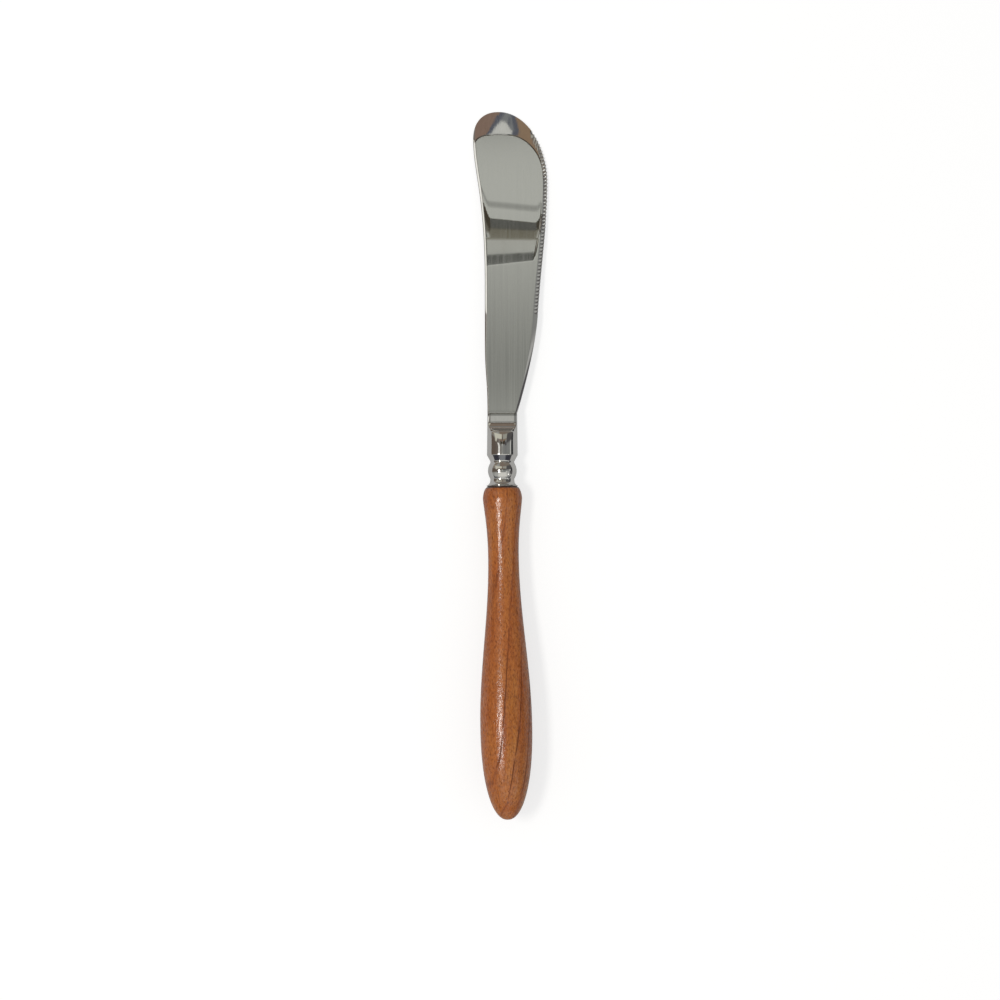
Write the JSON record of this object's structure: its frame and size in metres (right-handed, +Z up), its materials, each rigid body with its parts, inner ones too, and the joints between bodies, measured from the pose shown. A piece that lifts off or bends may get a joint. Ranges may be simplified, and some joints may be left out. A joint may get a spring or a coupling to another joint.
{
  "type": "table knife",
  "caption": "Table knife lying flat: rounded steel blade with fine teeth on one edge, turned steel bolster and turned wooden handle.",
  "frame": {"origin": "on the table, under the middle of the knife's bounding box, with the knife lying on one face", "axes": "+Y towards the blade's tip, +X towards the toothed edge, +Z up from the table"},
  "size_m": [0.022, 0.2098, 0.017],
  "materials": {
    "blade_steel": "fine lengthwise satin with polished bevels",
    "bolster_steel": "polished",
    "tang_steel": "as turned",
    "glue": "cured, dark",
    "handle_wood": "stained reddish brown, satin varnish"
  },
  "bodies": {
    "root": {"blade": "blade_steel", "bolster": "bolster_steel", "tang": "tang_steel", "glue_bed": "glue", "handle": "handle_wood"}
  },
  "joints": []
}
